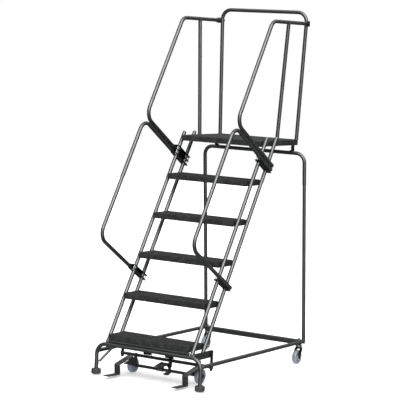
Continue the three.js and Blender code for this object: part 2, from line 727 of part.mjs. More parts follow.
function addCasters() {
  const { r, halfWidth, tyre, bossHalf, bossR } = REAR_WHEEL;
  const bore = CASTER.pinR + BEARING_GAP;
  const section = wheelSection(r, halfWidth, bore, bossR, bossHalf, r - tyre);
  for (const [side, sign] of SIDES) {
    const x = sign * CASTER.x;
    add(`caster_stem_${side}`, casterStem(x), "zinc");
    add(`caster_fork_${side}`, casterFork(x), "zinc");
    add(`rear_wheel_${side}`, turnedOnX(section, x, CASTER.y + CASTER.trail, r), "wheel");
  }
}

addTreads();
addStringers();
addHandrails();
addRailClamps();
addGuards();
addRearFrame();
addBase();
addFeet();
addBasePlates();
addPivot();
addRocker();
addRelease();
addCasters();

// The origin is the middle of the ladder's footprint, on the floor.
const bounds = new THREE.Box3().setFromObject(ladder);
ladder.position.y = -(bounds.min.y + bounds.max.y) / 2;

export default ladder;
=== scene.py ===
"""A rolling library ladder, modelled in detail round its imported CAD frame.

Blender units are metres, +Z up. X runs across the ladder, Y from its front to its back,
and the floor is Z = 0. Places are written in millimetres in the ladder's own frame, whose
Y = 0 is the middle of the front feet, and at() turns them into Blender points.
"""

import math

import bmesh
import bpy
from mathutils import Matrix, Quaternion, Vector


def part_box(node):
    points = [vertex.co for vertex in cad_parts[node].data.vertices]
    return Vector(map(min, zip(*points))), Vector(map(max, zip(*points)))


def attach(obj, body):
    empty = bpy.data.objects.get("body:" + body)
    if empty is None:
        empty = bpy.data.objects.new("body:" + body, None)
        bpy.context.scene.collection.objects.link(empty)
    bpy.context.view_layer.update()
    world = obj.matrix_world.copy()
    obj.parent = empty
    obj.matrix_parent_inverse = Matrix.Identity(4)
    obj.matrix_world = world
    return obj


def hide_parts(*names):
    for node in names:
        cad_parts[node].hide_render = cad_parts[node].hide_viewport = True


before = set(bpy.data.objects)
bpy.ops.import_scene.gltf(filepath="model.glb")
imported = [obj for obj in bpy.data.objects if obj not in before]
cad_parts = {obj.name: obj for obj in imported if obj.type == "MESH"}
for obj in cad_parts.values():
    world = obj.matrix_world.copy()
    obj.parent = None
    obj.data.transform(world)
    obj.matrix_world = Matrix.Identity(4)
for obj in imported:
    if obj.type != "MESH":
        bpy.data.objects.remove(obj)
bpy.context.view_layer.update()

# ---- dimensions, in millimetres ---------------------------------------------------------

MM = 0.001
SIDES = (("left", -1), ("right", 1))


def span(node):
    """Size of a CAD node's box, in millimetres."""
    low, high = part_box(node)
    return (high - low) / MM


def middle(node):
    """Middle of a CAD node's box, in metres."""
    low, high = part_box(node)
    return (low + high) / 2


FEET_Y = middle("foot_frame").y  # metres, the ladder's own Y = 0
TUBE_R = span("side_rail_left").x / 2


def at(x, y, z):
    """A point of the ladder's own frame, in Blender's metres."""
    return Vector((x * MM, y * MM + FEET_Y, z * MM))


def own(point):
    """The inverse of at(): millimetres in the ladder's own frame."""
    return Vector((point.x, point.y - FEET_Y, point.z)) / MM


def limits(node):
    """A CAD node's lowest and highest corner, in the ladder's own frame."""
    low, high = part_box(node)
    return own(low), own(high)


TREADS = [f"tread_{i}" for i in range(1, 6)]
RISE = limits("tread_2")[1].z - limits("tread_1")[1].z
RUN = limits("tread_2")[1].y - limits("tread_1")[1].y
FIRST_TREAD_Z = limits("tread_1")[1].z
PLATFORM_Z = limits("platform")[1].z
TREAD_HALF_WIDTH = limits("tread_1")[1].x

SLOPE = math.atan2(RISE, RUN)
ALONG = Vector((0, math.cos(SLOPE), math.sin(SLOPE)))  # up the stringers
ACROSS = Vector((0, math.sin(SLOPE), -math.cos(SLOPE)))  # square to them, back and down

STRINGER_X = 319.8
STRINGERS = {"front": (43, 217), "rear": (174, 203)}  # Y beside the first tread, foot Z
STRINGER_TOP_Z = PLATFORM_Z + 16

HANDRAIL_X = 345.6
HANDRAIL_BEND = 75
LOWER_RAIL_REACH = 503
UPPER_RAIL_REACH = 493
RAIL_END_REACH = 76
RAIL_PAIR_OFFSET = 14.7
LOWER_CLAMP_Z = 647
UPPER_CLAMP_Z = 1406
SIDE_RAIL_TOP_Z = 2331.5

SIDE_POST_Y = 987
GUARD_Y = 1260
POST_FOOT_X = 303
SIDE_POST_TOP_X = 344.6
GUARD_TOP_X = 333
GUARD_TOP_Z = 2406
GUARD_BEND = 66

BASE_X = 394.5
REAR_TOP = (1216, 1455)  # Y, Z
REAR_FOOT = (1357, 139)
REAR_BEND = 62
SIDE_RAIL_Z = 154
FOOT_FRAME_Z = 205.5
FOOT_BEND = 70
LEG_END = 16.3
BRACE_R = 8
BRACE_FOOT = (386, 18.5, 82)
BRACE_TOP = (330, 90, 176)

PIVOT = (218, 119.5)  # Y, Z
AXLE = (224, 50)
FRONT_WHEEL_X = 257
FRONT_WHEEL_R = 50
PEDAL_X = (237.2, 281)
PEDAL_LINE = ((203, 113), (42, 76), (50, 10), (-84, 16))  # its upper face
PEDAL_THICK = 5
SPRING_X = (-64, -30)

CASTER_X = 368
CASTER_Y = 1340
REAR_WHEEL_Y = 1320
REAR_WHEEL_R = 47.5

# ---- materials --------------------------------------------------------------------------


class Nodes:
    """Builds one material's node tree, one call for each node."""

    def __init__(self, name):
        self.material = bpy.data.materials.new(name)
        self.material.use_nodes = True
        self.tree = self.material.node_tree
        self.shader = self.tree.nodes["Principled BSDF"]
        self.place = self.tree.nodes.new("ShaderNodeTexCoord").outputs["Object"]

    def link(self, source, target):
        self.tree.links.new(source, target)

    def noise(self, scale, detail=4, roughness=0.55, stretch=(1, 1, 1)):
        mapping = self.tree.nodes.new("ShaderNodeMapping")
        mapping.inputs["Scale"].default_value = stretch
        self.link(self.place, mapping.inputs["Vector"])
        node = self.tree.nodes.new("ShaderNodeTexNoise")
        node.inputs["Scale"].default_value = scale
        node.inputs["Detail"].default_value = detail
        node.inputs["Roughness"].default_value = roughness
        self.link(mapping.outputs["Vector"], node.inputs["Vector"])
        return node.outputs["Fac"]

    def remap(self, value, low, high, to_low, to_high):
        node = self.tree.nodes.new("ShaderNodeMapRange")
        for socket, number in zip(
            ("From Min", "From Max", "To Min", "To Max"), (low, high, to_low, to_high)
        ):
            node.inputs[socket].default_value = number
        self.link(value, node.inputs["Value"])
        return node.outputs["Result"]

    def blend(self, factor, first, second):
        """A colour between two, each a colour or another node's output."""
        node = self.tree.nodes.new("ShaderNodeMix")
        node.data_type = "RGBA"
        self.link(factor, node.inputs["Factor"])
        for socket, colour in (("A", first), ("B", second)):
            target = [s for s in node.inputs if s.name == socket and s.type == "RGBA"][0]
            if isinstance(colour, tuple):
                target.default_value = (*colour, 1)
            else:
                self.link(colour, target)
        return [s for s in node.outputs if s.type == "RGBA"][0]

    def edges(self, low, high):
        """1 on worn outside edges and 0 elsewhere."""
        geometry = self.tree.nodes.new("ShaderNodeNewGeometry")
        return self.remap(geometry.outputs["Pointiness"], low, high, 0, 1)

    def bump(self, height, strength, distance, under=None):
        node = self.tree.nodes.new("ShaderNodeBump")
        node.inputs["Strength"].default_value = strength
        node.inputs["Distance"].default_value = distance
        self.link(height, node.inputs["Height"])
        if under is not None:
            self.link(under, node.inputs["Normal"])
        return node.outputs["Normal"]

    def finish(self, colour, roughness, normal, metallic=0.0, specular=0.5):
        self.link(colour, self.shader.inputs["Base Color"])
        self.link(roughness, self.shader.inputs["Roughness"])
        self.link(normal, self.shader.inputs["Normal"])
        self.shader.inputs["Metallic"].default_value = metallic
        self.shader.inputs["Specular IOR Level"].default_value = specular
        return self.material


def powder_coat(name, dark, light, sheen, specular):
    """Powder coat: cloudy in tone, orange-peeled, and rubbed thin along its edges."""
    nodes = Nodes(name)
    cloud = nodes.remap(nodes.noise(9, 5), 0.35, 0.65, 0, 1)
    colour = nodes.blend(cloud, dark, light)
    rubbed = nodes.blend(nodes.edges(0.6, 0.75), colour, tuple(3.2 * c for c in light))
    rough = nodes.remap(nodes.noise(55, 3), 0.3, 0.7, sheen - 0.04, sheen + 0.05)
    peel = nodes.bump(nodes.noise(600, 2), 0.05, 0.0001)
    return nodes.finish(rubbed, rough, peel, 0.0, specular)


def grip_coat(name, dark, light):
    """Matt coat with grit in it, scuffed and dusty where feet go."""
    nodes = Nodes(name)
    scuffs = nodes.remap(nodes.noise(24, 6, 0.65, (1, 1.6, 1)), 0.45, 0.64, 0, 1)
    colour = nodes.blend(scuffs, dark, light)
    rubbed = nodes.blend(nodes.edges(0.58, 0.72), colour, tuple(1.9 * c for c in light))
    rough = nodes.remap(nodes.noise(120, 3), 0.3, 0.7, 0.55, 0.78)
    grit = nodes.bump(nodes.noise(700, 3, 0.7), 0.35, 0.0006)
    return nodes.finish(rubbed, rough, grit, 0.0, 0.15)


def rubber(name, dark, light):
    """Moulded rubber with a dusty bloom."""
    nodes = Nodes(name)
    dust = nodes.remap(nodes.noise(35, 5), 0.4, 0.7, 0, 1)
    rough = nodes.remap(nodes.noise(90, 3), 0.3, 0.7, 0.68, 0.88)
    skin = nodes.bump(nodes.noise(520, 3), 0.25, 0.0005)
    return nodes.finish(nodes.blend(dust, dark, light), rough, skin, 0.0, 0.3)


def moulded(name, dark, light, sheen):
    """Hard moulded plastic, faintly streaked and scratched as it rolls."""
    nodes = Nodes(name)
    tone = nodes.remap(nodes.noise(28, 5, 0.6), 0.35, 0.68, 0, 1)
    rough = nodes.remap(nodes.noise(70, 3), 0.3, 0.7, sheen - 0.08, sheen + 0.1)
    scratches = nodes.bump(nodes.noise(240, 3, 0.6, (0.25, 1, 1)), 0.15, 0.0004)
    return nodes.finish(nodes.blend(tone, dark, light), rough, scratches, 0.0, 0.45)


def zinc_plate(name, dark, light):
    """Zinc plate: mottled bright metal with a brushed grain."""
    nodes = Nodes(name)
    spangle = nodes.remap(nodes.noise(80, 4, 0.6), 0.35, 0.65, 0, 1)
    rough = nodes.remap(nodes.noise(130, 3), 0.3, 0.7, 0.26, 0.46)
    grain = nodes.bump(nodes.noise(420, 3, 0.6, (1, 1, 0.15)), 0.12, 0.0003)
    return nodes.finish(nodes.blend(spangle, dark, light), rough, grain, 0.9)


LOOKS = {
    "tube": powder_coat("tube_coat", (0.016, 0.018, 0.0175), (0.022, 0.025, 0.0245), 0.38, 0.6),
    "clamp": powder_coat("clamp_coat", (0.005, 0.006, 0.006), (0.009, 0.010, 0.010), 0.42, 0.2),
    "tread": grip_coat("tread_coat", (0.015, 0.0155, 0.0155), (0.032, 0.0325, 0.0325)),
    "rubber": rubber("foot_rubber", (0.022, 0.023, 0.0235), (0.045, 0.046, 0.047)),
    "cap": moulded("cap_plastic", (0.17, 0.18, 0.18), (0.26, 0.27, 0.27), 0.5),
    "wheel": moulded("wheel_plastic", (0.24, 0.265, 0.30), (0.34, 0.37, 0.41), 0.38),
    "zinc": zinc_plate("zinc_plate", (0.12, 0.125, 0.13), (0.22, 0.225, 0.23)),
}

# ---- mesh helpers -----------------------------------------------------------------------

X_AXIS = Vector((1, 0, 0))
Y_AXIS = Vector((0, 1, 0))
Z_AXIS = Vector((0, 0, 1))


def piece(name, bm, slot, body="root", nodes=(), sharp=35):
    """Makes one finished piece of the ladder from a bmesh."""
    bmesh.ops.recalc_face_normals(bm, faces=bm.faces)
    mesh = bpy.data.meshes.new(name)
    bm.to_mesh(mesh)
    bm.free()
    mesh.shade_smooth()
    mesh.set_sharp_from_angle(angle=math.radians(sharp))
    mesh.materials.append(LOOKS[slot])
    obj = bpy.data.objects.new(name, mesh)
    bpy.context.scene.collection.objects.link(obj)
    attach(obj, body)
    if nodes:
        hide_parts(*nodes)
    return obj


def bent(corners, radius, steps=12):
    """Stations (point, heading) along corners in metres, with each inner corner rounded."""
    headings = [(b - a).normalized() for a, b in zip(corners, corners[1:])]
    stations = [(corners[0], headings[0])]
    for corner, before, after in zip(corners[1:-1], headings, headings[1:]):
        turn = before.angle(after)
        setback = radius * math.tan(turn / 2)
        axis = before.cross(after).normalized()
        start = corner - before * setback
        spoke = axis.cross(before) * -radius
        centre = start - spoke
        for k in range(steps + 1):
            swing = Quaternion(axis, turn * k / steps)
            stations.append((centre + swing @ spoke, swing @ before))
    stations.append((corners[-1], headings[-1]))
    return stations


def sweep(bm, stations, section, side=None, scales=None, closed=False):
    """Carries a section of (side, up) pairs along the stations, and closes its ends."""
    if side is None:
        side = stations[0][1].orthogonal().normalized()
    rings = []
    heading = stations[0][1]
    for i, (point, tangent) in enumerate(stations):
        side = heading.rotation_difference(tangent) @ side
        heading = tangent
        up = tangent.cross(side).normalized()
        scale = scales[i] if scales else 1
        rings.append([bm.verts.new(point + scale * (side * a + up * b)) for a, b in section])
    count = len(section)
    loops = list(zip(rings, rings[1:]))
    if closed:
        loops.append((rings[-1], rings[0]))
    for first, second in loops:
        for i in range(count):
            j = (i + 1) % count
            bm.faces.new((first[i], first[j], second[j], second[i]))
    if not closed:
        bm.faces.new(rings[0][::-1])
        bm.faces.new(rings[-1])


def ring(radius, sides=28):
    """A round section."""
    angles = [2 * math.pi * i / sides for i in range(sides)]
    return [(radius * math.cos(a), radius * math.sin(a)) for a in angles]


def rounded_bar(half_width, half_height, corner, steps=3):
    """A flat bar's section with rounded edges."""
    points = []
    for sx, sy, start in ((1, 1, 0), (-1, 1, 90), (-1, -1, 180), (1, -1, 270)):
        for k in range(steps + 1):
            a = math.radians(start + 90 * k / steps)
            x = sx * (half_width - corner) + corner * math.cos(a)
            y = sy * (half_height - corner) + corner * math.sin(a)
            points.append((x, y))
    return points


def tube(bm, corners, radius=TUBE_R, bend=0, sides=32):
    """A tube with softened ends, along corners in the ladder's own frame."""
    soften = 1.2 * MM
    stations = bent([at(*c) for c in corners], bend * MM)
    first, start = stations[0]
    last, end = stations[-1]
    whole = [(first, start), (first + start * soften, start), *stations[1:-1]]
    whole += [(last - end * soften, end), (last, end)]
    inner = 1 - soften / (radius * MM)
    scales = [inner, *[1] * (len(whole) - 2), inner]
    sweep(bm, whole, ring(radius * MM, sides), scales=scales)


def strip(bm, line, thick, x0, x1, bend):
    """A flat bar, bent in side view along the (Y, Z) points of its upper face."""
    corners = [at((x0 + x1) / 2, y, z) for y, z in line]
    stations = bent(corners, bend * MM, 6)
    section = rounded_bar(abs(x1 - x0) / 2 * MM, thick / 2 * MM, 1.2 * MM)
    lowered = []
    for point, heading in stations:
        under = heading.cross(X_AXIS)
        lowered.append((point + under * thick / 2 * MM, heading))
    sweep(bm, lowered, section, side=X_AXIS.copy())


def lathe(bm, profile, centre, axis, segments):
    """Turns (radius, along) pairs, in millimetres, about an axis through centre."""
    side = axis.orthogonal().normalized()
    up = axis.cross(side)
    rings = []
    for radius, along in profile:
        middle_point = centre + axis * along * MM
        if radius == 0:
            rings.append([bm.verts.new(middle_point)])
            continue
        angles = [2 * math.pi * i / segments for i in range(segments)]
        spokes = [side * math.cos(a) + up * math.sin(a) for a in angles]
        rings.append([bm.verts.new(middle_point + s * radius * MM) for s in spokes])
    pairs = list(zip(rings, rings[1:]))
    if profile[0][0] > 0:
        pairs.append((rings[-1], rings[0]))
    for first, second in pairs:
        for i in range(segments):
            j = (i + 1) % segments
            if len(first) == 1:
                bm.faces.new((first[0], second[i], second[j]))
            elif len(second) == 1:
                bm.faces.new((first[i], first[j], second[0]))
            else:
                bm.faces.new((first[i], first[j], second[j], second[i]))


def hexagon(bm, centre, axis, across, height):
    """A hexagon head or nut with chamfered corners, standing on centre along axis."""
    r = across / math.sqrt(3)
    low, high = 0.12 * height, 0.82 * height
    profile = [(0, 0), (0.88 * r, 0), (r, low), (r, high), (0.84 * r, height), (0, height)]
    lathe(bm, profile, centre, axis, 6)


def washered_hexagon(bm, centre, axis, size, height):
    """A washer of radius size, with a hexagon on it that sinks in slightly."""
    washer = [(0, 0), (size, 0), (size, 0.7), (0.85 * size, 1.2), (0, 1.2)]
    lathe(bm, washer, centre, axis, 24)
    hexagon(bm, centre + axis * 1.1 * MM, axis, 1.6 * size, height)


def bolt(bm, centre, axis, size):
    """A bolt head on its washer, standing on centre along axis."""
    washered_hexagon(bm, centre, axis, size, 0.62 * size)


def stud_end(bm, centre, axis, size):
    """A washer, a nut and the end of the bolt through it."""
    washered_hexagon(bm, centre, axis, size, 0.75 * size)
    shank = [(0, 0), (0.48 * size, 0), (0.48 * size, 1.15 * size), (0.4 * size, 1.3 * size)]
    lathe(bm, [*shank, (0, 1.3 * size)], centre, axis, 16)


RIPPLE_PITCH = 1.6


def bead(bm, points, radius, closed=False):
    """A rippled weld bead along points in metres."""
    # a closed bead's last segment isn't counted here, which only spaces its ripples wider
    length = sum((b - a).length for a, b in zip(points, points[1:]))
    count = max(6, round(length / (RIPPLE_PITCH * MM)))
    stations = []
    segments = list(zip(points, points[1:] + points[:1] if closed else points[1:]))
    lengths = [(b - a).length for a, b in segments]
    total = sum(lengths)
    for k in range(count if closed else count + 1):
        travelled = total * k / count
        for (a, b), part in zip(segments, lengths):
            if travelled <= part or (a, b) == segments[-1]:
                share = min(1, travelled / part)
                stations.append([a.lerp(b, share), (b - a).normalized()])
                break
            travelled -= part
    if closed:
        for k, station in enumerate(stations):
            before, after = stations[k - 1][0], stations[(k + 1) % count][0]
            station[1] = (after - before).normalized()
    scales = [1.1 if k % 3 == 0 else 0.92 for k in range(len(stations))]
    if not closed:
        scales[0] = scales[-1] = 0.45
    sweep(bm, stations, ring(radius * MM, 10), scales=scales, closed=closed)


def circle_points(centre, axis, radius, count):
    """Points round a circle of a radius in millimetres, about an axis through centre."""
    side = axis.orthogonal().normalized()
    up = axis.cross(side)
    angles = [2 * math.pi * k / count for k in range(count)]
    return [centre + (side * math.cos(a) + up * math.sin(a)) * radius * MM for a in angles]


def tee_bead(bm, end, heading, radius, main_point, main_axis):
    """The bead where a tube, ending near `end`, meets the side of a main tube."""
    points = []
    for start in circle_points(end, heading, radius, 24):
        offset = start - main_point
        flat = offset - main_axis * offset.dot(main_axis)
        way = heading - main_axis * heading.dot(main_axis)
        a, b = way.length_squared, flat.dot(way)
        c = flat.length_squared - (TUBE_R * MM) ** 2
        reach = (-b - math.sqrt(max(0, b * b - a * c))) / a
        points.append(start + heading * reach)
    bead(bm, points, 2.1, closed=True)


def refined(name, node, slot, body="root", bevel=0.8, extra=None):
    """A piece with a plate's CAD outline, and with rounded edges instead of sharp ones."""
    bm = bmesh.new()
    bm.from_mesh(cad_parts[node].data)
    bmesh.ops.remove_doubles(bm, verts=bm.verts, dist=1e-5)
    bmesh.ops.dissolve_limit(bm, angle_limit=math.radians(1), verts=bm.verts, edges=bm.edges)
    sharp = [e for e in bm.edges if len(e.link_faces) == 2 and e.calc_face_angle(0) > 0.6]
    bmesh.ops.bevel(
        bm,
        geom=sharp,
        offset=bevel * MM,
        segments=2,
        profile=0.6,
        affect="EDGES",
        clamp_overlap=True,
    )
    if extra:
        extra(bm)
    return piece(name, bm, slot, body, [node], 30)


# ---- treads and platform ----------------------------------------------------------------

SHEET_THICK = 2.6
SHEET_BEND = 5.0
FOLD_STEPS = 5  # facets round each fold
HEM = 11
BUTTON_PITCH = 50.8
BUTTON_R = 9.5
BUTTON_HEIGHT = 1.9
GRID_STEP = 5.0


def button_height(x, y):
    """Height of the sheet's pressed buttons, which stand in staggered rows."""
    row = round(y / (BUTTON_PITCH / 2))
    shift = BUTTON_PITCH / 2 if row % 2 else 0
    column = round((x - shift) / BUTTON_PITCH)
    dx = x - shift - column * BUTTON_PITCH
    dy = y - row * BUTTON_PITCH / 2
    distance = math.hypot(dx, dy)
    if distance > BUTTON_R:
        return 0.0
    return BUTTON_HEIGHT * (0.5 + 0.5 * math.cos(math.pi * distance / BUTTON_R))


def flange(bm, edge, outward, depth, hem):
    """Folds the sheet down from a row of edge vertices, with a hem turned in below."""
    down = Vector((0, 0, -1))
    rows = [edge]
    for k in range(1, FOLD_STEPS + 1):
        angle = math.pi / 2 * k / FOLD_STEPS
        shift = outward * math.sin(angle) + down * (1 - math.cos(angle))
        rows.append([bm.verts.new(v.co + shift * SHEET_BEND * MM) for v in edge])
    side = rows[-1]
    straight = (depth - SHEET_BEND) * MM
    for share in (0.5, 1):
        rows.append([bm.verts.new(v.co + down * straight * share) for v in side])
    bottom = rows[-1]
    for share in (0.3, 1):
        rows.append([bm.verts.new(v.co - outward * hem * MM * share) for v in bottom])
    for first, second in zip(rows, rows[1:]):
        for i in range(len(edge) - 1):
            bm.faces.new((first[i], first[i + 1], second[i + 1], second[i]))


def folded_corner(bm, top, first, second, depth):
    """Closes the corner between two flanges round a quarter turn of the sheet's bend."""
    steps = 4
    down = Vector((0, 0, -1))
    columns = []
    for k in range(steps + 1):
        turn = math.pi / 2 * k / steps
        outward = first * math.cos(turn) + second * math.sin(turn)
        column = []
        for j in range(1, FOLD_STEPS + 1):
            angle = math.pi / 2 * j / FOLD_STEPS
            shift = outward * math.sin(angle) + down * (1 - math.cos(angle))
            column.append(bm.verts.new(top.co + shift * SHEET_BEND * MM))
        straight = (depth - SHEET_BEND) * MM
        edge = column[-1].co
        column += [bm.verts.new(edge + down * straight * share) for share in (0.5, 1)]
        columns.append(column)
    for left, right in zip(columns, columns[1:]):
        bm.faces.new((top, left[0], right[0]))
        for j in range(len(left) - 1):
            bm.faces.new((left[j], left[j + 1], right[j + 1], right[j]))


def tread_sheet(name, node):
    """A tread of folded sheet with pressed buttons, four hemmed flanges and closed corners."""
    low, high = limits(node)
    bm = bmesh.new()
    x0, x1 = low.x + SHEET_BEND, high.x - SHEET_BEND
    y0, y1 = low.y + SHEET_BEND, high.y - SHEET_BEND
    columns = round((x1 - x0) / GRID_STEP)
    rows = round((y1 - y0) / GRID_STEP)
    margin = BUTTON_R + 8
    grid = []
    for j in range(rows + 1):
        y = y0 + (y1 - y0) * j / rows
        line = []
        for i in range(columns + 1):
            x = x0 + (x1 - x0) * i / columns
            inside = x0 + margin < x < x1 - margin and y0 + margin < y < y1 - margin
            lift = button_height(x, y - (low.y + high.y) / 2) if inside else 0
            line.append(bm.verts.new(at(x, y, high.z + lift)))
        grid.append(line)
    for j in range(rows):
        for i in range(columns):
            corners = (grid[j][i], grid[j][i + 1], grid[j + 1][i + 1], grid[j + 1][i])
            bm.faces.new(corners)
    depth = high.z - low.z
    flange(bm, grid[0], -Y_AXIS, depth, HEM)
    flange(bm, grid[-1], Y_AXIS, depth, HEM)
    flange(bm, [line[0] for line in grid], -X_AXIS, depth, HEM)
    flange(bm, [line[-1] for line in grid], X_AXIS, depth, HEM)
    for j, way_y in ((0, -Y_AXIS), (-1, Y_AXIS)):
        for i, way_x in ((0, -X_AXIS), (-1, X_AXIS)):
            folded_corner(bm, grid[j][i], way_y, way_x, depth)
    bmesh.ops.remove_doubles(bm, verts=bm.verts, dist=1e-6)
    obj = piece(name, bm, "tread", nodes=[node])
    thicken = obj.modifiers.new("sheet", "SOLIDIFY")
    thicken.thickness = SHEET_THICK * MM
    thicken.offset = -1
    return obj


def stringer_y(y, z):
    """Y at height z of the stringer that is at y beside the first tread."""
    return y + (z - FIRST_TREAD_Z) * RUN / RISE


def tread_welds():
    """Short beads that join each stringer to the flanges of the treads it passes."""
    bm = bmesh.new()
    gap_x = (TREAD_HALF_WIDTH + STRINGER_X - TUBE_R) / 2
    for node in (*TREADS, "platform"):
        low, high = limits(node)
        for _, sign in SIDES:
            for y, _foot in STRINGERS.values():
                ends = [(z, stringer_y(y, z)) for z in (low.z + 3, high.z - 4)]
                ends = [(z, py) for z, py in ends if low.y < py < high.y]
                if len(ends) == 2:
                    bead(bm, [at(sign * gap_x, py, z) for z, py in ends], 2.6)
    piece("tread_welds", bm, "tube")


def build_treads():
    for node in TREADS:
        tread_sheet(f"sheet_{node}", node)
    tread_sheet("sheet_platform", "platform")
    tread_welds()


# ---- tubes ------------------------------------------------------------------------------

WELD_GAP = 1  # left open between tubes, under a weld bead


def tube_piece(name, corners, node, bend=0, radius=TUBE_R, body="root", slot="tube"):
    bm = bmesh.new()
    tube(bm, corners, radius, bend)
    return piece(name, bm, slot, body, [node])


def build_stringers():
    for side, sign in SIDES:
        x = sign * STRINGER_X
        for place, (y, foot) in STRINGERS.items():
            ends = [(x, stringer_y(y, z), z) for z in (foot, STRINGER_TOP_Z)]
            tube_piece(f"tube_stringer_{place}_{side}", ends, f"stringer_{place}_{side}")
            cap = [(0, 0.3), (12.4, 0.3), (12.5, 1.6), (12.0, 3.6), (9.6, 5.4), (0, 6.2)]
            bm = bmesh.new()
            lathe(bm, cap, at(*ends[1]), ALONG, 32)
            node = f"stringer_cap_{place}_{side}"
            piece(f"plug_{place}_{side}", bm, "cap", nodes=[node])


def off_stringers(z, across, along):
    """(Y, Z) reached from the stringers' middle line at height z."""
    ys = [y for y, _foot in STRINGERS.values()]
    start = Vector((0, stringer_y(sum(ys) / 2, z), z))
    point = start + ACROSS * across + ALONG * along
    return point.y, point.z


def build_handrails():
    pair = RAIL_PAIR_OFFSET
    lower = [
        off_stringers(LOWER_CLAMP_Z, RAIL_END_REACH, 0),
        off_stringers(LOWER_CLAMP_Z, -LOWER_RAIL_REACH, 0),
        off_stringers(UPPER_CLAMP_Z, -LOWER_RAIL_REACH, -pair),
        off_stringers(UPPER_CLAMP_Z, RAIL_END_REACH, -pair),
    ]
    bend_y, bend_z = off_stringers(UPPER_CLAMP_Z, -UPPER_RAIL_REACH, pair)
    upper = [
        off_stringers(UPPER_CLAMP_Z, RAIL_END_REACH, pair),
        (bend_y, bend_z),
        (bend_y + (SIDE_RAIL_TOP_Z - bend_z) * RUN / RISE, SIDE_RAIL_TOP_Z),
        (GUARD_Y - TUBE_R - 2 * WELD_GAP, SIDE_RAIL_TOP_Z),
    ]
    for side, sign in SIDES:
        for place, line in (("lower", lower), ("upper", upper)):
            corners = [(sign * HANDRAIL_X, y, z) for y, z in line]
            name = f"handrail_{place}_{side}"
            tube_piece(f"tube_{name}", corners, name, HANDRAIL_BEND)


def post_foot_trim(bm, x, y):
    """A welded collar where a post stands on the platform."""
    low = at(x, y, PLATFORM_Z + 1.2)
    bead(bm, circle_points(low, Z_AXIS, TUBE_R + 0.8, 28), 2.4, closed=True)


def build_guards():
    foot = PLATFORM_Z + 1.3
    guard = [
        (-POST_FOOT_X, GUARD_Y, foot),
        (-GUARD_TOP_X, GUARD_Y, GUARD_TOP_Z),
        (GUARD_TOP_X, GUARD_Y, GUARD_TOP_Z),
        (POST_FOOT_X, GUARD_Y, foot),
    ]
    tube_piece("tube_back_guard", guard, "back_guard", GUARD_BEND)
    post_top = SIDE_RAIL_TOP_Z - TUBE_R - 1.5
    for side, sign in SIDES:
        foot_point = (sign * POST_FOOT_X, SIDE_POST_Y, foot)
        top_point = (sign * SIDE_POST_TOP_X, SIDE_POST_Y, post_top)
        tube_piece(f"tube_side_post_{side}", [foot_point, top_point], f"side_post_{side}")
        welds = bmesh.new()
        heading = (at(*top_point) - at(*foot_point)).normalized()
        rail = at(sign * HANDRAIL_X, SIDE_POST_Y, SIDE_RAIL_TOP_Z)
        tee_bead(welds, at(*top_point), heading, TUBE_R, rail, Y_AXIS)
        for y in (SIDE_POST_Y, GUARD_Y):
            post_foot_trim(welds, sign * POST_FOOT_X, y)
        piece(f"post_welds_{side}", welds, "tube")


def build_rear_frame():
    (top_y, top_z), (foot_y, foot_z) = REAR_TOP, REAR_FOOT
    corners = [
        (-BASE_X, foot_y, foot_z),
        (-BASE_X, top_y, top_z),
        (BASE_X, top_y, top_z),
        (BASE_X, foot_y, foot_z),
    ]
    tube_piece("tube_rear_frame", corners, "rear_frame", REAR_BEND)


def build_base_tubes():
    frame_corners = [
        (-BASE_X, 0, LEG_END),
        (-BASE_X, 0, FOOT_FRAME_Z),
        (BASE_X, 0, FOOT_FRAME_Z),
        (BASE_X, 0, LEG_END),
    ]
    tube_piece("tube_foot_frame", frame_corners, "foot_frame", FOOT_BEND)
    low, high = limits("sill_bar")
    sill_r = (high.z - low.z) / 2
    sill_x = STRINGER_X - TUBE_R - WELD_GAP
    sill = [(-sill_x, 0, (low.z + high.z) / 2), (sill_x, 0, (low.z + high.z) / 2)]
    tube_piece("tube_sill_bar", sill, "sill_bar", radius=sill_r)
    (top_y, top_z), (foot_y, foot_z) = REAR_TOP, REAR_FOOT
    rake = Vector((0, top_y - foot_y, top_z - foot_z)).normalized()
    for side, sign in SIDES:
        node = f"side_rail_{side}"
        low, high = limits(node)
        x = sign * BASE_X
        ends = [(x, low.y, SIDE_RAIL_Z), (x, high.y, SIDE_RAIL_Z)]
        tube_piece(f"tube_{node}", ends, node)
        brace = [(sign * px, py, pz) for px, py, pz in (BRACE_FOOT, BRACE_TOP)]
        tube_piece(f"tube_foot_brace_{side}", brace, f"foot_brace_{side}", radius=BRACE_R)
        welds = bmesh.new()
        leg = at(x, 0, SIDE_RAIL_Z)
        tee_bead(welds, at(*ends[0]), -Y_AXIS, TUBE_R, leg, Z_AXIS)
        tee_bead(welds, at(*ends[1]), Y_AXIS, TUBE_R, at(x, foot_y, foot_z), rake)
        brace_way = (at(*brace[0]) - at(*brace[1])).normalized()
        tee_bead(welds, at(*brace[0]), brace_way, BRACE_R, leg, Z_AXIS)
        piece(f"base_welds_{side}", welds, "tube")


# ---- clamps, brackets and plates --------------------------------------------------------

STRAP_XS = (-143, 25)
STRAP_HALF_WIDTH = 32
STRAP_THICK = 4


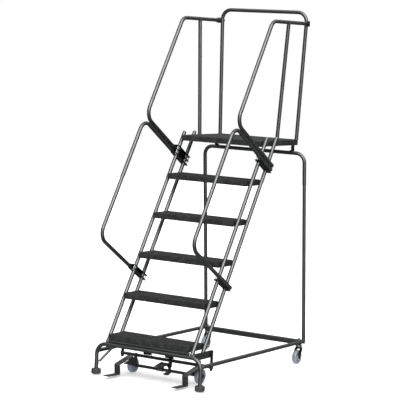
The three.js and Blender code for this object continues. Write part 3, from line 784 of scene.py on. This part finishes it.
def build_rail_clamps():
    """The clamps' flanges, with the bolts that draw them together."""
    pitch = 2 * RAIL_PAIR_OFFSET
    for side, sign in SIDES:
        for place, z, rails in (("lower", LOWER_CLAMP_Z, 1), ("upper", UPPER_CLAMP_Z, 2)):
            refined(f"flanges_{place}_{side}", f"rail_clamp_{place}_{side}", "clamp")
            bolts = bmesh.new()
            half = rails * pitch / 2 + 1.6
            for across in (-80, 82):
                x = sign * 312
                y, pz = off_stringers(z, across, half)
                bolt(bolts, at(x, y, pz), ALONG, 6.5)
                y, pz = off_stringers(z, across, -half)
                stud_end(bolts, at(x, y, pz), -ALONG, 6.5)
                shank = [off_stringers(z, across, end) for end in (-half, half)]
                tube(bolts, [(x, py, pz) for py, pz in shank], 3.2, sides=12)
            piece(f"clamp_bolts_{place}_{side}", bolts, "zinc")


def build_guard_clamps():
    for side, sign in SIDES:
        node = f"guard_clamp_{side}"
        refined(f"strap_{node}", node, "clamp", bevel=0.7)
        low, high = limits(node)
        bolts = bmesh.new()
        outer_rail = at((low.x if sign < 0 else high.x), GUARD_Y - 30, SIDE_RAIL_TOP_Z)
        bolt(bolts, outer_rail, X_AXIS * sign, 6)
        splay = (GUARD_TOP_X - POST_FOOT_X) / (GUARD_TOP_Z - PLATFORM_Z)
        leg_x = POST_FOOT_X + splay * (SIDE_RAIL_TOP_Z - PLATFORM_Z)
        inner = at(sign * (leg_x - TUBE_R + 0.2), GUARD_Y, SIDE_RAIL_TOP_Z)
        bolt(bolts, inner, X_AXIS * -sign, 7.5)
        outer = at(sign * (leg_x + TUBE_R + 5.0), GUARD_Y + 1, SIDE_RAIL_TOP_Z)
        stud_end(bolts, outer, X_AXIS * sign, 4)
        piece(f"guard_bolts_{side}", bolts, "clamp")


def build_brackets():
    for side, sign in SIDES:
        node = f"platform_bracket_{side}"
        refined(f"angle_{node}", node, "clamp", bevel=0.7)
        low, high = limits(node)
        inner = low.x + 12 if sign > 0 else high.x - 12
        bolts = bmesh.new()
        for y in (REAR_TOP[0] - 11, REAR_TOP[0] + 11):
            x = (high.x - 5) if sign > 0 else (low.x + 5)
            bolt(bolts, at(x, y, (low.z + high.z) / 2 + 4), X_AXIS * -sign, 6)
        bead(bolts, [at(inner, low.y, low.z - 0.4), at(inner, high.y, low.z - 0.4)], 2.0)
        piece(f"bracket_bolts_{side}", bolts, "clamp")


def build_base_plates():
    for side, sign in SIDES:
        node = f"base_plate_{side}"
        low, high = limits(node)
        refined(f"web_{node}", node, "tube", bevel=1.0)
        hanger = f"pivot_hanger_{side}"
        refined(f"web_{hanger}", hanger, "clamp", bevel=1.0)
        fixings = bmesh.new()
        outer = high.x if sign > 0 else low.x
        hang_low, hang_high = limits(hanger)
        hang_outer = hang_high.x if sign > 0 else hang_low.x
        way = X_AXIS * sign
        for y in (30, 120):
            bolt(fixings, at(outer, y, high.z - 16), way, 7)
        for z in (195, 213):
            bolt(fixings, at(hang_outer, (hang_low.y + hang_high.y) / 2, z), way, 6)
        piece(f"base_bolts_{side}", fixings, "clamp")
        welds = bmesh.new()
        inner = low.x if sign > 0 else high.x
        for y, foot in STRINGERS.values():
            ends = [(z, stringer_y(y, z)) for z in (foot + 5, high.z - 1)]
            for edge in (-TUBE_R * 0.6, TUBE_R * 0.6):
                line = [at(inner - sign * 1.6, py + edge, z) for z, py in ends]
                bead(welds, line, 2.4)
        piece(f"stringer_foot_welds_{side}", welds, "tube")


def build_straps():
    """Straps that hold the pivot bar up under the back of the bottom tread."""
    low, high = limits("tread_1")
    back = high.y + STRAP_THICK + 0.3
    line = ((back, low.z + 26), (back, low.z - 14), (PIVOT[0] + 2, PIVOT[1] + 14))
    for number, x in enumerate(STRAP_XS, 1):
        bm = bmesh.new()
        strip(bm, line, STRAP_THICK, x - STRAP_HALF_WIDTH, x + STRAP_HALF_WIDTH, 8)
        for along in (-18, 18):
            bolt(bm, at(x + along, back, low.z + 12), Y_AXIS, 6)
        piece(f"pivot_strap_{number}", bm, "clamp")


def build_cross_member():
    refined("channel_rear_cross_member", "rear_cross_member", "tube", bevel=1.6)
    low, high = limits("rear_cross_member")
    welds = bmesh.new()
    for _, sign in SIDES:
        x = sign * (high.x + 0.2)
        outline = [(low.y, low.z + 6), (low.y, high.z), (high.y, high.z), (high.y, low.z + 6)]
        bead(welds, [at(x, y, z) for y, z in outline], 2.0)
    piece("cross_member_welds", welds, "tube")


def build_feet():
    """Rubber feet: a ribbed cup round the leg, on a wide rounded pad."""
    profile = [
        (0, 5), (27, 5), (28, 5.6), (28, 7), (30.4, 7), (31.6, 7.8), (32, 9.5), (32, 17),
        (31, 18), (31, 20), (32, 21), (32, 27), (31, 28), (31, 30), (31.8, 31),
        (31.4, 34), (29, 37), (26, 38), (15.5, 38), (13.4, 37), (13.1, 34), (13.1, 16.2),
        (0, 16.2),
    ]
    for side, sign in SIDES:
        bm = bmesh.new()
        lathe(bm, profile, at(sign * BASE_X, 0, 0), Z_AXIS, 72)
        piece(f"boot_{side}", bm, "rubber", nodes=[f"foot_pad_{side}"])


# ---- wheel frame and pedals -------------------------------------------------------------

FRONT_WHEEL = {"half_width": 16, "hub_r": 17, "hub_half": 19}
REAR_WHEEL = {"half_width": 15, "hub_r": 14, "hub_half": 16.5}
AXLE_BORE = 9.9  # clears the axle bar
BOLT_BORE = 6.4
SPRING_TURNS = 7
SPRING_R = 11.7  # to the middle of its wire
WIRE_R = 1.2
TREADLE_LINE = ((121, 88.2), (204, 103.2))  # Y, Z of the release pedal's upper face


def headed_bar(name, node, line, radius, body):
    """A bar along X with a nut and washer on each end."""
    y, z = line
    low, high = limits(node)
    half = high.x
    bm = bmesh.new()
    tube(bm, [(-half + 1, y, z), (half - 1, y, z)], radius)
    nut_r = (high.z - low.z) / 2
    head = 6
    for way in (-1, 1):
        inner = at(way * (half - head - 1), y, z)
        washer = [(0, -1.2), (nut_r, -1.2), (nut_r, 0.2), (nut_r - 1, 0.6), (0, 0.6)]
        lathe(bm, washer, inner, X_AXIS * way, 32)
        hexagon(bm, inner + X_AXIS * way * 0.5 * MM, X_AXIS * way, 1.5 * nut_r, head)
    return piece(name, bm, "tube", body, [node])


def build_pedals():
    """The stepped foot pedals, ribbed where they are trodden on."""
    for side, sign in SIDES:
        x0, x1 = (sign * x for x in PEDAL_X)
        bm = bmesh.new()
        strip(bm, PEDAL_LINE, PEDAL_THICK, x0, x1, 7)
        tip, heel = PEDAL_LINE[3], PEDAL_LINE[2]
        for k in range(7):
            share = 0.08 + 0.09 * k
            y = tip[0] + (heel[0] - tip[0]) * share
            z = tip[1] + (heel[1] - tip[1]) * share
            ends = [(x0 + sign * 6, y, z + 0.4), (x1 - sign * 6, y, z + 0.4)]
            tube(bm, ends, 1.5, sides=10)
        piece(f"step_pedal_{side}", bm, "tube", "rocker", [f"pedal_{side}"])
        arm = f"rocker_arm_{side}"
        refined(f"plate_{arm}", arm, "tube", "rocker", 0.9)
        low, high = limits(arm)
        welds = bmesh.new()
        edge = x0 - sign * 0.4
        line = [(190, 110), (140, 98.5), (88, 86.5)]
        bead(welds, [at(edge, y, z - 2) for y, z in line], 1.9)
        for y, z in (PIVOT, AXLE):
            collar = at(low.x if sign > 0 else high.x, y, z)
            ring_r = 13
            washer = [(ring_r - 2, -4), (ring_r, -3.4), (ring_r, 0), (11, 0), (11, -4)]
            lathe(welds, washer, collar, X_AXIS * sign, 32)
        piece(f"arm_collars_{side}", welds, "tube", "rocker")


def ribbed_wheel(bm, centre, radius, half_width, hub_r, hub_half, bore, ribs):
    """A moulded wheel: a grooved tyre, a dished web with ribs, and a hub with a bore."""
    rim = radius - 13
    side = [
        (bore, -hub_half), (bore + 1.5, -hub_half - 0.4), (hub_r - 1.5, -hub_half),
        (hub_r, -hub_half + 1.5), (hub_r + 1.5, -8), (hub_r + 4, -6), (rim - 3, -5),
        (rim - 1, -7), (rim, -half_width + 2), (rim + 1, -half_width + 0.6),
        (rim + 3, -half_width), (rim + 4, -half_width + 0.8), (rim + 5, -half_width),
        (radius - 5, -half_width + 0.2), (radius - 2.2, -half_width + 1.6),
        (radius - 0.7, -half_width + 4), (radius, -half_width + 7.5),
    ]
    profile = side + [(radius, 0)] + [(r, -along) for r, along in reversed(side)]
    lathe(bm, profile, centre, X_AXIS, 80)
    inner, outer = hub_r - 1, rim + 0.5
    for k in range(ribs):
        spin = Quaternion(X_AXIS, 2 * math.pi * k / ribs)
        out = spin @ Z_AXIS
        around = X_AXIS.cross(out)
        stations = [(centre + out * r * MM, out) for r in (inner, outer)]
        section = rounded_bar(1.7 * MM, (half_width - 5) * MM, 0.8 * MM)
        sweep(bm, stations, section, side=around)


def bearing(bm, centre, way, hub_half, outer, inner):
    """A bearing's outer race and shield, seen in the hub."""
    profile = [
        (inner, -3), (inner, 0.5), (inner + 1, 0.9), (outer - 1, 0.9), (outer, 0.4),
        (outer, -3),
    ]
    lathe(bm, profile, centre + way * hub_half * MM, way, 40)


def build_front_wheels():
    for side, sign in SIDES:
        centre = at(sign * FRONT_WHEEL_X, *AXLE)
        bm = bmesh.new()
        ribbed_wheel(bm, centre, FRONT_WHEEL_R, **FRONT_WHEEL, bore=AXLE_BORE, ribs=8)
        node = f"front_wheel_{side}"
        piece(f"rolling_{node}", bm, "wheel", node, [node])
        races = bmesh.new()
        for way in (-1, 1):
            bearing(races, centre, X_AXIS * way, hub_half=18.8, outer=14, inner=AXLE_BORE)
        piece(f"bearings_{node}", races, "zinc", node)


def build_release():
    """The release pedal, its latch plate and its spring."""
    (y0, z0), (y1, z1) = TREADLE_LINE

    def tread_ribs(bm):
        for k in range(6):
            share = 0.1 + 0.13 * k
            y = y0 + (y1 - y0) * share
            z = z0 + (z1 - z0) * share
            tube(bm, [(-23, y, z), (23, y, z)], 1.3, sides=10)

    refined("treadle_release_pedal", "release_pedal", "tube", "release", 0.8, tread_ribs)
    refined("plate_latch_quadrant", "latch_quadrant", "clamp", bevel=0.7)
    bm = bmesh.new()
    steps = 26
    x0, x1 = SPRING_X
    points = []
    for k in range(SPRING_TURNS * steps + 1):
        share = k / (SPRING_TURNS * steps)
        angle = 2 * math.pi * SPRING_TURNS * share
        y = AXLE[0] + SPRING_R * math.cos(angle)
        z = AXLE[1] + SPRING_R * math.sin(angle)
        points.append(at(x0 + (x1 - x0) * share, y, z))
    stations = []
    for k, point in enumerate(points):
        before, after = points[max(0, k - 1)], points[min(len(points) - 1, k + 1)]
        stations.append((point, (after - before).normalized()))
    sweep(bm, stations, ring(WIRE_R * MM, 10))
    piece("torsion_spring", bm, "zinc", "rocker", ["pedal_spring"])
    collar = bmesh.new()
    for x in (x0 - 7, x1 + 0.8):
        ring_profile = [(9.9, 0), (9.9, 5), (12, 5), (12.6, 4.4), (12.6, 0.6), (12, 0)]
        lathe(collar, ring_profile, at(x, *AXLE), X_AXIS, 32)
    piece("spring_collars", collar, "clamp", "rocker")


# ---- rear casters -----------------------------------------------------------------------

FORK_OUTER = 21.6  # from the wheel's middle to the fork's outer face


def build_casters():
    channel_low, channel_high = limits("rear_cross_member")
    race_top = channel_low.z - 0.4
    nut_z = channel_high.z + 0.3
    for side, sign in SIDES:
        x = sign * CASTER_X
        swivel = at(x, CASTER_Y, 0)
        stem = bmesh.new()
        race = [
            (0, 114), (19, 114), (21.5, 115.5), (22, 118), (20.5, 120), (20.5, 121.5),
            (22, 123), (22, 127), (20, 129.5), (17, race_top), (6, race_top), (6, nut_z),
            (6, nut_z + 12), (5, nut_z + 13), (0, nut_z + 13),
        ]
        lathe(stem, race, swivel, Z_AXIS, 48)
        washer = [(6, nut_z), (11, nut_z), (11, nut_z + 1), (6, nut_z + 1.2)]
        lathe(stem, washer, swivel, Z_AXIS, 28)
        hexagon(stem, swivel + Z_AXIS * (nut_z + 1) * MM, Z_AXIS, 18.5, 7)
        piece(f"swivel_{side}", stem, "zinc", nodes=[f"caster_stem_{side}"])
        body = f"caster_{side}"
        refined(f"fork_{side}", f"caster_fork_{side}", "clamp", body, 0.9)
        axle = bmesh.new()
        bolt(axle, at(x - FORK_OUTER, REAR_WHEEL_Y, REAR_WHEEL_R), -X_AXIS, 6.2)
        stud_end(axle, at(x + FORK_OUTER, REAR_WHEEL_Y, REAR_WHEEL_R), X_AXIS, 4.6)
        piece(f"fork_bolt_{side}", axle, "zinc", body)
        wheel_body = f"rear_wheel_{side}"
        centre = at(x, REAR_WHEEL_Y, REAR_WHEEL_R)
        wheel = bmesh.new()
        ribbed_wheel(wheel, centre, REAR_WHEEL_R, **REAR_WHEEL, bore=BOLT_BORE, ribs=6)
        piece(f"rolling_{wheel_body}", wheel, "wheel", wheel_body, [wheel_body])
        races = bmesh.new()
        for way in (-1, 1):
            bearing(races, centre, X_AXIS * way, hub_half=16.2, outer=10.5, inner=BOLT_BORE)
        piece(f"bearings_{wheel_body}", races, "zinc", wheel_body)


# ---- studio -----------------------------------------------------------------------------

CAMERA_AZIMUTH = 31.36  # degrees round the ladder from its front, towards its right
CAMERA_ELEVATION = 5.19
CAMERA_ROLL = -2.88
CAMERA_DISTANCE = 11.2113
CAMERA_TARGET = (0, 537.6, 1140.8)
CAMERA_LENS = 153.7


def build_camera():
    data = bpy.data.cameras.new("camera")
    data.lens = CAMERA_LENS
    data.sensor_width = 36
    camera = bpy.data.objects.new("camera", data)
    bpy.context.scene.collection.objects.link(camera)
    bpy.context.scene.camera = camera
    azimuth, elevation = math.radians(CAMERA_AZIMUTH), math.radians(CAMERA_ELEVATION)
    back = Vector(
        (
            math.sin(azimuth) * math.cos(elevation),
            -math.cos(azimuth) * math.cos(elevation),
            math.sin(elevation),
        )
    )
    turn = (-back).to_track_quat("-Z", "Y").to_matrix().to_4x4()
    roll = Matrix.Rotation(math.radians(-CAMERA_ROLL), 4, "Z")
    place = Matrix.Translation(at(*CAMERA_TARGET) + back * CAMERA_DISTANCE)
    camera.matrix_world = place @ turn @ roll


def soft_sun(name, towards, strength, angle, highlights_only=False):
    """An even soft light from one direction, as wide in the sky as the angle in degrees."""
    data = bpy.data.lights.new(name, "SUN")
    data.energy = strength
    data.angle = math.radians(angle)
    light = bpy.data.objects.new(name, data)
    bpy.context.scene.collection.objects.link(light)
    light.rotation_mode = "QUATERNION"
    light.rotation_quaternion = Vector(towards).to_track_quat("Z", "Y")
    light.visible_diffuse = not highlights_only


def white_surround(colour, strength):
    """A world that is white to look at, and lights the ladder with a softer grey."""
    world = bpy.data.worlds.new("studio")
    bpy.context.scene.world = world
    world.use_nodes = True
    tree = world.node_tree
    light = tree.nodes["Background"]
    light.inputs["Color"].default_value = (*colour, 1)
    light.inputs["Strength"].default_value = strength
    seen = tree.nodes.new("ShaderNodeBackground")
    seen.inputs["Color"].default_value = (1, 1, 1, 1)
    chooser = tree.nodes.new("ShaderNodeMixShader")
    path = tree.nodes.new("ShaderNodeLightPath")
    tree.links.new(path.outputs["Is Camera Ray"], chooser.inputs[0])
    tree.links.new(light.outputs[0], chooser.inputs[1])
    tree.links.new(seen.outputs[0], chooser.inputs[2])
    tree.links.new(chooser.outputs[0], tree.nodes["World Output"].inputs[0])


FLOOR_GLOW = 0.4  # a light table's faint glow, which keeps the shadows pale


def build_floor():
    bm = bmesh.new()
    lathe(bm, [(0, 0), (16000, 0), (16000, -20), (0, -20)], Vector((0, 0, -0.001)), Z_AXIS, 96)
    mesh = bpy.data.meshes.new("floor")
    bm.to_mesh(mesh)
    bm.free()
    nodes = Nodes("floor_paint")
    tone = nodes.remap(nodes.noise(0.6, 3), 0.3, 0.7, 0, 1)
    rough = nodes.remap(nodes.noise(4, 3), 0.3, 0.7, 0.8, 0.95)
    still = nodes.bump(nodes.noise(40, 2), 0.02, 0.0005)
    paint = nodes.finish(nodes.blend(tone, (0.9, 0.9, 0.9), (0.94, 0.94, 0.94)), rough, still)
    nodes.shader.inputs["Emission Color"].default_value = (1, 1, 1, 1)
    nodes.shader.inputs["Emission Strength"].default_value = FLOOR_GLOW
    mesh.materials.append(paint)
    floor = bpy.data.objects.new("floor", mesh)
    bpy.context.scene.collection.objects.link(floor)
    floor.visible_glossy = False


def build_studio():
    build_camera()
    build_floor()
    white_surround((1.0, 1.0, 1.0), 0.15)
    soft_sun("key", (-0.10, -0.60, 0.80), 1.3, 50)
    soft_sun("front_card", (0.52, -0.48, 0.71), 9.0, 62, highlights_only=True)
    soft_sun("side_card", (0.62, -0.78, 0.12), 2.6, 60, highlights_only=True)
    soft_sun("overhead", (0.1, 0.15, 1.0), 2.9, 110)
    bpy.context.scene.view_settings.view_transform = "Standard"


build_studio()
build_treads()
build_stringers()
build_handrails()
build_guards()
build_rear_frame()
build_base_tubes()
build_rail_clamps()
build_guard_clamps()
build_brackets()
build_base_plates()
build_straps()
build_cross_member()
build_feet()
headed_bar("bar_pivot", "pivot_bar", PIVOT, 10.5, "root")
headed_bar("bar_axle", "axle_bar", AXLE, 9.5, "rocker")
build_pedals()
build_front_wheels()
build_release()
build_casters()
